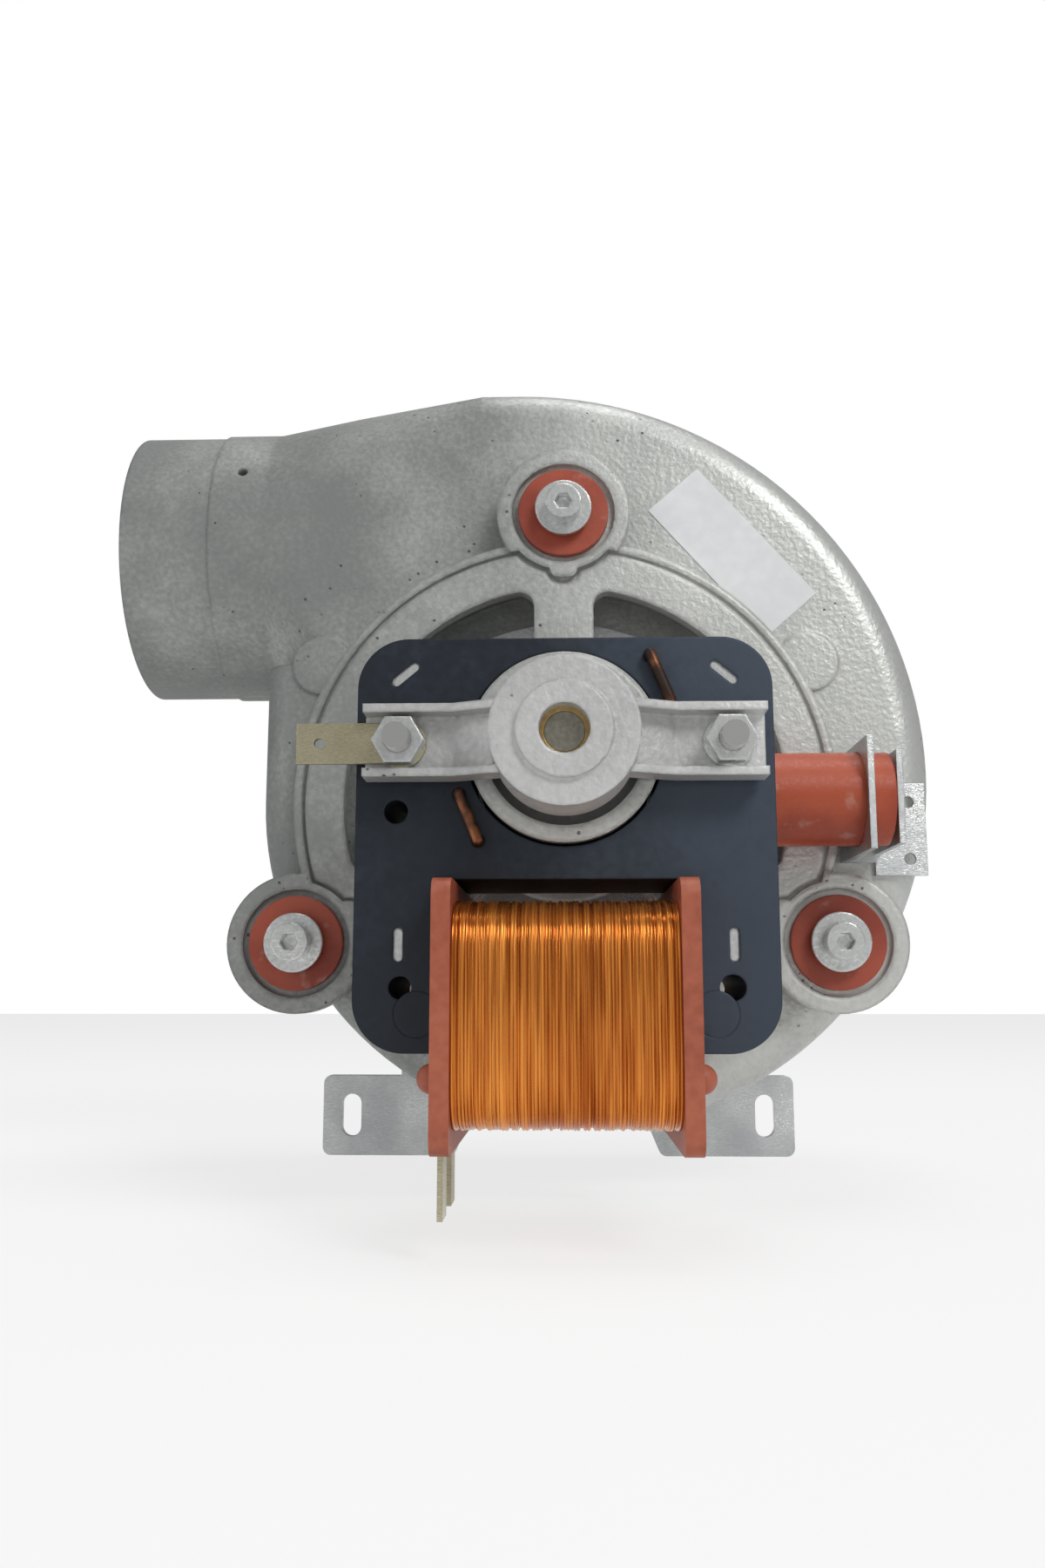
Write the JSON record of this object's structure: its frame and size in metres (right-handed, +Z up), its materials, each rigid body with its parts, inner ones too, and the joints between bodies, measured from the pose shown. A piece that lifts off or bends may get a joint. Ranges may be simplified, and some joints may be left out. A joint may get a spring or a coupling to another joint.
{
  "type": "combustion fan",
  "caption": "Centrifugal flue-gas fan: die-cast scroll with round outlet spigot, bushed motor carrier and shaded-pole motor.",
  "frame": {"origin": "axis of the inlet and shaft, at the rear face of the mounting bracket", "axes": "+Z up, +X to the right seen from the motor, +Y from the motor towards the boiler along the shaft"},
  "size_m": [0.169, 0.1435, 0.167],
  "materials": {
    "cast_alloy": "die cast",
    "gasket": "matt",
    "zinc_sheet": "zinc plated",
    "screw_steel": "bright zinc",
    "impeller_sheet": "rolled sheet",
    "sintered_bronze": "oiled",
    "ground_steel": "ground",
    "seal_rubber": "matt",
    "red_silicone": "satin",
    "lamination": "blued, varnished",
    "copper": "drawn",
    "enamelled_wire": "enamelled",
    "former_plastic": "moulded",
    "tinned_brass": "dull tinned",
    "thrust_plastic": "moulded",
    "paper_label": "film"
  },
  "bodies": {
    "housing": {"scroll_housing": "cast_alloy", "back_gasket": "gasket", "back_plate": "zinc_sheet", "back_plate_screws": "screw_steel", "mounting_bracket": "zinc_sheet", "bracket_rivets": "screw_steel", "shaft_seal": "seal_rubber", "motor_carrier": "cast_alloy", "silicone_bushes": "red_silicone", "bush_sleeves": "screw_steel", "bush_washers": "screw_steel", "bush_bolts": "screw_steel", "stator_core": "lamination", "coil_core": "lamination", "stack_clinches": "screw_steel", "shading_rings": "copper", "coil_bobbin": "former_plastic", "coil_winding": "enamelled_wire", "coil_terminals": "tinned_brass", "front_bracket": "cast_alloy", "rear_bracket": "cast_alloy", "front_bearing": "sintered_bronze", "rear_bearing": "sintered_bronze", "bearing_retainers": "screw_steel", "motor_studs": "screw_steel", "stud_spacers": "screw_steel", "stud_nuts": "screw_steel", "stud_washers": "screw_steel", "earth_tab": "tinned_brass", "sleeve_bracket": "zinc_sheet", "silicone_sleeve": "red_silicone", "sleeve_bracket_rivets": "screw_steel", "label": "paper_label"},
    "rotor": {"impeller_disc": "impeller_sheet", "impeller_blades": "impeller_sheet", "impeller_shroud": "impeller_sheet", "impeller_hub": "sintered_bronze", "impeller_nut": "screw_steel", "shaft": "ground_steel", "cooling_fan": "impeller_sheet", "rotor_core": "ground_steel", "rotor_end_rings": "copper", "thrust_washers": "thrust_plastic"}
  },
  "joints": [
    {"name": "rotor_spin", "type": "hinge", "parent": "housing", "child": "rotor", "pos_m": [0, -0.114, 0], "axis": [0, 1, 0], "continuous": true}
  ]
}
